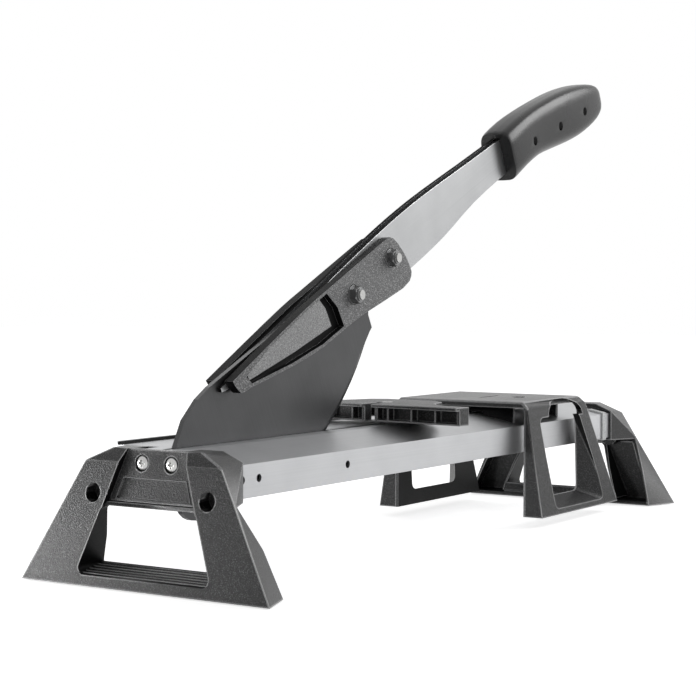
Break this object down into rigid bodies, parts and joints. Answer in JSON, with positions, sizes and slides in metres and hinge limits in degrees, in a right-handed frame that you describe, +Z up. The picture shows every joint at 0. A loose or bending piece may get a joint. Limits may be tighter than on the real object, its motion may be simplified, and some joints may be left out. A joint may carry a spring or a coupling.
{
  "type": "laminate cutter",
  "caption": "Bench cutter for laminate panels: a curved blade on a long two-arm lever pivots between two rails on splayed feet, with a swivelling stop and a lift-off panel stand.",
  "frame": {"origin": "centre of the footprint on the floor, in the plane of the blade", "axes": "+X along the rails from the pivot end to the rear foot, +Y to the far rail with the lip, +Z up"},
  "size_m": [0.7496, 0.23, 0.432],
  "materials": {
    "moulded_black": "spark-textured moulding",
    "pad_rubber": "matt",
    "rail_aluminium": "satin anodised extrusion",
    "edge_strip": "matt strip",
    "shear_steel": "ground",
    "collar_grey": "light grey",
    "plated_steel": "zinc plated",
    "spacer_brass": "plain",
    "blade_steel": "dark ground steel",
    "arm_steel": "fine brushed",
    "bracket_casting": "black textured casting",
    "handle_black": "satin black",
    "sleeve_dark": "dark sleeve screw"
  },
  "bodies": {
    "base": {"front_foot": "moulded_black", "rear_foot": "moulded_black", "front_foot_pads": "pad_rubber", "rear_foot_pads": "pad_rubber", "near_rail": "rail_aluminium", "far_rail": "rail_aluminium", "far_edge_strip": "edge_strip", "near_shear_strip": "shear_steel", "far_shear_strip": "shear_steel", "rail_end_collar": "collar_grey", "front_foot_screws": "plated_steel", "rear_foot_screws": "plated_steel", "pivot_bolt": "plated_steel", "pivot_nut": "plated_steel", "pivot_spacers": "spacer_brass", "stop_screw": "plated_steel", "stop_clamp_plate": "shear_steel"},
    "lever": {"blade": "blade_steel", "near_arm": "arm_steel", "far_arm": "arm_steel", "arm_spacer": "arm_steel", "near_bracket": "bracket_casting", "far_bracket": "bracket_casting", "bracket_bolts": "plated_steel", "bracket_nuts": "plated_steel", "bracket_washers": "plated_steel", "near_handle_shell": "handle_black", "far_handle_shell": "handle_black", "handle_screws": "sleeve_dark"},
    "stop": {"stop_fence": "moulded_black"},
    "stand": {"panel_stand": "moulded_black"}
  },
  "joints": [
    {"name": "lever_pivot", "type": "hinge", "parent": "base", "child": "lever", "pos_m": [-0.31224, 0, 0.0813], "axis": [0, 1, 0], "range_deg": [-40, 17]},
    {"name": "stop_swivel", "type": "hinge", "parent": "base", "child": "stop", "pos_m": [-0.03984, 0, 0.11], "axis": [0, 0, 1], "range_deg": [-1, 9]},
    {"name": "stand_lift", "type": "slide", "parent": "base", "child": "stand", "axis": [0, 0, 1], "range_m": [0, 0.035]}
  ]
}
